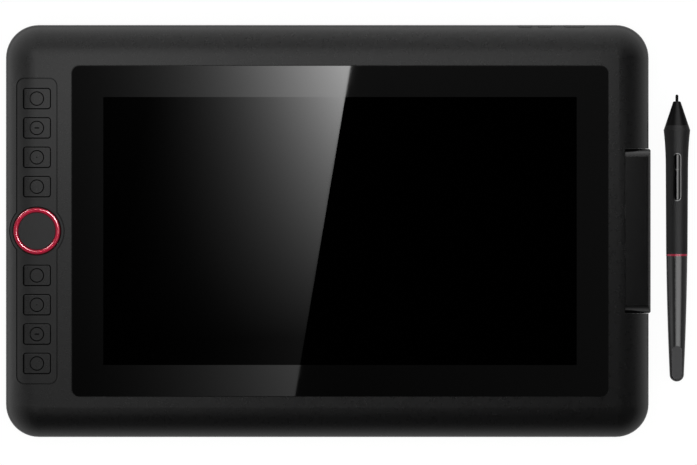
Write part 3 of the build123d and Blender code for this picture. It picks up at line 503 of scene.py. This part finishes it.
def screen_glass(name):
    """One bonded plate: glass over a black ink border, and a film over the panel whose reflection is painted
    to fade.
    """
    material, tree = new_material(name)
    place = place_on_object(tree)
    axes = axes_of(tree, place)
    centre = middle("cover_glass")
    panel = maths(tree, "MULTIPLY",
                  inside_share(tree, axes["X"], centre.x, PANEL_WIDTH / 2),
                  inside_share(tree, axes["Y"], centre.y, PANEL_DEPTH / 2))
    smears = noise(tree, place, SMEAR_PATCH, detail=3.0)
    shader = add(tree, "ShaderNodeBsdfPrincipled", {
        "Base Color": blend_colours(tree, panel, grey(INK_BLACK), grey(PANEL_BLACK)),
        "Roughness": spread(tree, smears, *SMEAR_RANGE, GLASS_ROUGHNESS, SMEARED_ROUGHNESS),
        "Specular IOR Level": blend_numbers(tree, panel, PLAIN_SPECULAR, painted_film_reflection(tree, axes)),
        "IOR": PLAIN_IOR,
    })
    finish_material(tree, shader.outputs[0])
    return material


def circuit_board(name, base, track):
    """Solder mask with a maze of raised tracks under it."""
    material, tree = new_material(name)
    inputs = {"Vector": place_on_object(tree), "Scale": 1 / TRACK_CELL, "Randomness": TRACK_RANDOMNESS}
    cells = add(tree, "ShaderNodeTexVoronoi", inputs, feature="DISTANCE_TO_EDGE").outputs["Distance"]
    tracks = spread(tree, cells, *TRACK_EDGE, 1.0, 0.0)
    shader = add(tree, "ShaderNodeBsdfPrincipled", {
        "Base Color": blend_colours(tree, tracks, base, track),
        "Roughness": spread(tree, tracks, 0.0, 1.0, MASK_ROUGHNESS, TRACK_ROUGHNESS),
        "Normal": bumped(tree, tracks, TRACK_HEIGHT),
    })
    finish_material(tree, shader.outputs[0])
    return material


# Stage and light

def light_only(card, receivers):
    """Lets a glowing card light only the given objects."""
    group = bpy.data.collections.new(card.name + "_lights")
    for item in receivers:
        group.objects.link(item)
    card.light_linking.receiver_collection = group


def all_but(*names):
    return [item for name, item in nodes.items() if name not in names]


def mesh_object(name, corners):
    mesh = bpy.data.meshes.new(name)
    shape = bmesh.new()
    shape.faces.new([shape.verts.new((x, y, 0)) for x, y in corners])
    shape.to_mesh(mesh)
    shape.free()
    return link_to_scene(bpy.data.objects.new(name, mesh))


def rectangle(half_x, half_y):
    return [(-half_x, -half_y), (half_x, -half_y), (half_x, half_y), (-half_x, half_y)]


def glow_only_in_gloss(card):
    """A card that is seen in reflections alone, and casts no shadow."""
    card.visible_camera = False
    card.visible_diffuse = False
    card.visible_transmission = False
    card.visible_shadow = False


def glowing(tree, strength):
    """Light that comes off a clear card, so that reflections also show what lies behind it."""
    light = add(tree, "ShaderNodeEmission", {"Strength": strength}).outputs[0]
    clear = add(tree, "ShaderNodeBsdfTransparent").outputs[0]
    finish_material(tree, add(tree, "ShaderNodeAddShader", {0: light, 1: clear}).outputs[0])


def four_corner_light(tree, span_x, span_y, far_levels, near_levels, fall_power=1.0):
    """A strength that changes between four corners; a power over 1 keeps more of it near the far side."""
    axes = axes_of(tree, place_on_object(tree))
    far = spread(tree, axes["X"], *span_x, *far_levels)
    near = spread(tree, axes["X"], *span_x, *near_levels)
    share = maths(tree, "POWER", spread(tree, axes["Y"], *span_y, 0.0, 1.0), fall_power)
    return spread(tree, share, 0.0, 1.0, near, far)


def make_case_softbox():
    """A softbox as large as the tablet, brightest at its far left corner."""
    half = size_of("top_case") / 2
    left, right = -half.x - CASE_BOX_MARGIN, half.x + CASE_BOX_MARGIN_RIGHT
    near, far = -half.y - CASE_BOX_MARGIN, half.y + CASE_BOX_MARGIN
    card = mesh_object("case_softbox", [(left, near), (left, far), (right, far), (right, near)])
    card.location = (tablet.x, tablet.y, face_z + CASE_BOX_HEIGHT)
    material, tree = new_material("case_softbox_glow")
    glowing(tree, four_corner_light(tree, (left, right), (near, far),
                                    (CASE_BOX_FAR_LEFT, CASE_BOX_FAR_RIGHT),
                                    (CASE_BOX_NEAR_LEFT, CASE_BOX_NEAR_RIGHT),
                                    CASE_BOX_FALL_POWER))
    card.data.materials.append(material)
    glow_only_in_gloss(card)
    light_only(card, all_but("cover_glass", "dial_ring", *pen_names))


def mirrored_card(name, corners, material):
    """A card over the glass, given by the corners of its mirror image on the glass."""
    card = mesh_object(name, corners)
    grown = 1 + SHEET_HEIGHT / view_distance
    card.location = view_centre + Vector((0, 0, SHEET_HEIGHT))
    card.scale = (grown, grown, 1)
    card.data.materials.append(material)
    glow_only_in_gloss(card)
    light_only(card, [nodes["cover_glass"]])


def make_glass_sheet():
    """The slanted sheet of light that the glass mirrors."""
    material, tree = new_material("glass_sheet_glow")
    axes = axes_of(tree, place_on_object(tree))
    from_edge, from_far = sheet_places(tree, axes["X"], axes["Y"])
    fall_left = maths(tree, "DIVIDE", from_edge, SHEET_FALL_LEFT)
    faster = maths(tree, "POWER", maths(tree, "DIVIDE", from_edge, SHEET_FALL_FASTER), SHEET_FASTER_POWER)
    fall_near = maths(tree, "DIVIDE", from_far, SHEET_FALL_NEAR)
    loss = maths(tree, "ADD", maths(tree, "ADD", fall_left, faster), fall_near)
    fall = maths(tree, "EXPONENT", maths(tree, "MULTIPLY", loss, -1.0))
    glowing(tree, maths(tree, "MULTIPLY", fall, SHEET_LIGHT))
    corners = [(SHEET_LEFT, SHEET_EDGE_NEAR[1]), (SHEET_LEFT, SHEET_EDGE_FAR[1]),
               SHEET_EDGE_FAR, SHEET_EDGE_NEAR]
    mirrored_card("glass_sheet", corners, material)


def make_dim_sheet():
    """The dim room that the glass mirrors to the right of the sheet."""
    material, tree = new_material("dim_sheet_glow")
    glowing(tree, four_corner_light(tree, (SHEET_EDGE_FAR[0], DIM_SHEET_RIGHT),
                                    (SHEET_EDGE_NEAR[1], SHEET_EDGE_FAR[1]),
                                    (DIM_SHEET_FAR_LEFT, DIM_SHEET_FAR_RIGHT),
                                    (DIM_SHEET_NEAR_LEFT, DIM_SHEET_NEAR_RIGHT)))
    corners = [SHEET_EDGE_NEAR, SHEET_EDGE_FAR,
               (DIM_SHEET_RIGHT, SHEET_EDGE_FAR[1]), (DIM_SHEET_RIGHT, SHEET_EDGE_NEAR[1])]
    mirrored_card("dim_sheet", corners, material)


def gloss_card(name, target, direction, angle, distance, half_across, half_up, radiance, receivers):
    """A card that faces the target and fades towards its edges."""
    turn, tilt = math.radians(direction), math.radians(angle)
    outward = Vector((math.sin(turn) * math.sin(tilt), math.cos(turn) * math.sin(tilt), math.cos(tilt)))
    across = Vector((math.cos(turn), -math.sin(turn), 0))
    card = mesh_object(name, rectangle(half_across, half_up))
    card.location = target + outward * distance
    card.rotation_mode = "QUATERNION"
    card.rotation_quaternion = Matrix((across, outward.cross(across), outward)).transposed().to_quaternion()
    material, tree = new_material(name + "_glow")
    axes = axes_of(tree, place_on_object(tree))
    level = radiance
    for axis, half in (("X", half_across), ("Y", half_up)):
        away = maths(tree, "ABSOLUTE", axes[axis])
        fade = spread(tree, away, half * CARD_FADE_FROM, half, 1.0, 0.0, "SMOOTHSTEP")
        level = maths(tree, "MULTIPLY", fade, level)
    glowing(tree, level)
    card.data.materials.append(material)
    glow_only_in_gloss(card)
    light_only(card, receivers)


def make_pen_cards():
    """Long soft lights over the pen, which itself isn't mirrored in the case."""
    pen = (middle("pen_grip") + middle("pen_tail")) / 2
    for name in pen_names:
        nodes[name].visible_glossy = False
    for side, *shape in PEN_CARDS:
        gloss_card("pen_card_" + side, pen, *shape, [nodes[name] for name in PEN_SKIN])


def make_dial_cards():
    """Soft lights that the dial's ring mirrors as bright arcs."""
    for side, *shape in DIAL_CARDS:
        gloss_card("dial_card_" + side, middle("dial_ring"), *shape, [nodes["dial_ring"]])


def make_floor():
    """A white table top: it glows white to the camera and keeps a faint shadow round the object, and its glow
    fades out as a painted shadow under the object's outline.
    """
    floor = mesh_object("floor", rectangle(FLOOR_SIZE / 2, FLOOR_SIZE / 2))
    material, tree = new_material("floor_white")
    shade = add(tree, "ShaderNodeBsdfDiffuse", {"Color": grey(FLOOR_WHITE)}).outputs[0]
    glow = add(tree, "ShaderNodeEmission", {"Strength": FLOOR_GLOW}).outputs[0]
    path = add(tree, "ShaderNodeLightPath").outputs
    seen = maths(tree, "MAXIMUM", path["Is Camera Ray"], path["Is Transmission Ray"])
    away = distance_to_outline(tree, place_on_object(tree), tablet, (case_high - case_low) / 2, CASE_CORNER)
    # Painted shadow: the glow fades out just inside the outline of the case
    clear = spread(tree, away, -DARK_BELOW_TO, -DARK_BELOW_FROM, DARK_BELOW_LEAST, 1.0, "SMOOTHSTEP")
    share = maths(tree, "MULTIPLY", maths(tree, "MULTIPLY", seen, clear), 1 - FLOOR_SHADE_SHARE)
    finish_material(tree, add(tree, "ShaderNodeMixShader", {0: share, 1: shade, 2: glow}).outputs[0])
    floor.data.materials.append(material)


def make_world():
    """Plain white light, in which shiny surfaces see a dark ceiling over a bright horizon."""
    world = bpy.data.worlds.new("studio")
    bpy.context.scene.world = world
    world.use_nodes = True
    tree = world.node_tree
    tree.nodes.clear()
    axes = axes_of(tree, add(tree, "ShaderNodeTexCoord").outputs["Generated"])
    level = maths(tree, "SUBTRACT", 1.0, maths(tree, "MULTIPLY", axes["Z"], axes["Z"]))
    ring = maths(tree, "MULTIPLY", level, RING_LIGHT)
    lean = maths(tree, "ADD",
                 maths(tree, "MULTIPLY", axes["Y"], LIGHT_FROM_FAR),
                 maths(tree, "MULTIPLY", axes["X"], -LIGHT_FROM_LEFT))
    flatness = maths(tree, "SQRT", maths(tree, "MAXIMUM", level, 0.0))
    side = maths(tree, "DIVIDE", lean, maths(tree, "MAXIMUM", flatness, SIDE_LIGHT_FULL))
    mirrored = maths(tree, "MAXIMUM", maths(tree, "ADD", ring, side), 0.0)
    path = add(tree, "ShaderNodeLightPath").outputs
    gloss = maths(tree, "MAXIMUM", path["Is Glossy Ray"], path["Is Transmission Ray"])
    strength = blend_numbers(tree, gloss, PLAIN_LIGHT, mirrored)
    sky = add(tree, "ShaderNodeBackground", {"Color": grey(WHITE), "Strength": strength})
    add(tree, "ShaderNodeOutputWorld", {"Surface": sky.outputs[0]})


# Pieces with another finish than the record's slot: the board and the pin that show round the pen's rocker
# are black, painted shade in its gap, and the edge buttons are like the case, since the key finish paints
# shade black below the case's face

OTHER_FINISHES = {
    "pen_board": "pen_board",
    "pen_rocker_pin": "screw",
    "power_button": "case",
    "brightness_up_button": "case",
    "brightness_down_button": "case",
}


def case_finishes():
    """Finishes outside the case, with its keys and dial, by the record's slots."""
    dark = colour(0.0020, 0.0020, 0.0021)
    return {
        # The case, key strip and keys get painted shade in their seam, walls and gaps
        "case": moulded("case_plastic", dark, roughness=0.28, painted_shade=painted_seam_shade),
        "strip": moulded("strip_plastic", colour(0.0018, 0.0018, 0.0019), roughness=0.30, grain=KEY_GRAIN,
                         painted_shade=painted_seam_and_wall_shade),
        "key": moulded("key_plastic", dark, roughness=0.28, grain=KEY_GRAIN, painted_shade=painted_key_gap_shade),
        "rubber": rubber("foot_rubber", grey(0.008), roughness=0.85),
        "dial_metal": turned_ring("anodised_red", colour(0.35, 0.008, 0.032), roughness=0.36,
                                  centre=middle("dial_ring"), outer_radius=size_of("dial_ring").x / 2),
        "dial_face": moulded("dial_face", colour(0.0042, 0.0042, 0.0044), roughness=0.40),
        "badge": moulded("badge_plate", colour(0.0016, 0.0016, 0.0017), roughness=0.24),
    }


def screen_finishes():
    """Finishes of the screen's layers and the plates behind them, by the record's slots."""
    return {
        "glass": screen_glass("screen_glass"),
        "mask": moulded("screen_ink", grey(0.003), roughness=0.3),
        "tape": moulded("foam_tape", grey(0.01), roughness=0.9),
        "panel": moulded("panel_black", grey(0.002), roughness=0.25),
        "guide": moulded("light_guide_acrylic", grey(0.75), roughness=0.12),
        "led": moulded("led_yellow", colour(0.85, 0.7, 0.25), roughness=0.4),
        "tray": metal("tray_steel", grey(0.6), roughness=0.3, stretch=BRUSHED_ALONG_Y),
        "shield": metal("shield_foil", grey(0.75), roughness=0.25),
        "chassis": metal("chassis_aluminium", grey(0.55), roughness=0.35, stretch=BRUSHED_ALONG_X),
    }


def board_finishes():
    """Finishes of the boards and of small metal pieces, by the record's slots."""
    return {
        "board": circuit_board("board_green", base=colour(0.01, 0.09, 0.03), track=colour(0.03, 0.18, 0.06)),
        # The pen's board is black as painted shade in the gap round its rocker
        "pen_board": circuit_board("board_black", base=grey(0.002), track=grey(0.006)),
        "chip": moulded("chip_black", grey(0.012), roughness=0.5),
        "steel": metal("plug_shell_steel", grey(0.6), roughness=0.25),
        "dome": metal("dome_steel", grey(0.65), roughness=0.22),
        "ribbon": moulded("ribbon_amber", colour(0.35, 0.12, 0.02), roughness=0.35),
        "screw": metal("black_screw", grey(0.03), roughness=0.35),
        "copper": metal("copper_wire", colour(0.85, 0.35, 0.15), roughness=0.3, stretch=WOUND_ROUND_Y),
    }


def pen_finishes():
    """Finishes of the pen's skin, by the record's slots."""
    return {
        "pen_rubber": rubber("pen_grip_rubber", colour(0.0060, 0.0060, 0.0062), roughness=0.42, ior=1.12),
        "pen_gloss": moulded("pen_gloss", colour(0.006, 0.006, 0.0062), roughness=0.18, depth=GLOSS_DEPTH,
                             ior=1.25),
        "pen_satin": moulded("pen_satin", colour(0.0015, 0.0015, 0.0016), roughness=0.25, depth=SATIN_DEPTH,
                             ior=1.09),
        # The rocker and its bezel get painted shade where they lean left
        "pen_rocker": moulded("pen_rocker", colour(0.002, 0.002, 0.0021), roughness=0.14, depth=POLISH_DEPTH,
                              ior=1.29, painted_shade=painted_left_flank_shade),
        "pen_plate": moulded("pen_plate", colour(0.014, 0.014, 0.0145), roughness=0.30, depth=SATIN_DEPTH,
                             ior=1.13),
        "nib": moulded("nib_plastic", grey(0.001), roughness=0.3, ior=1.06),
        "bezel": moulded("bezel_gloss", grey(0.008), roughness=0.25, depth=POLISH_DEPTH, ior=1.42,
                         painted_shade=painted_left_flank_shade),
        "accent": moulded("accent_red", colour(0.22, 0.006, 0.025), roughness=0.22, depth=GLOSS_DEPTH,
                          ior=1.25),
    }


def dress_nodes():
    materials = {**case_finishes(), **screen_finishes(), **board_finishes(), **pen_finishes()}
    for part in frame["record"]["subparts"]:
        finish = OTHER_FINISHES.get(part["node"], part["material_slot"])
        slots = nodes[part["node"]].data.materials
        slots.clear()
        slots.append(materials[finish])


make_camera()
make_world()
make_floor()
dress_nodes()
make_case_softbox()
make_glass_sheet()
make_dim_sheet()
make_pen_cards()
make_dial_cards()
bpy.context.scene.view_settings.view_transform = "Standard"
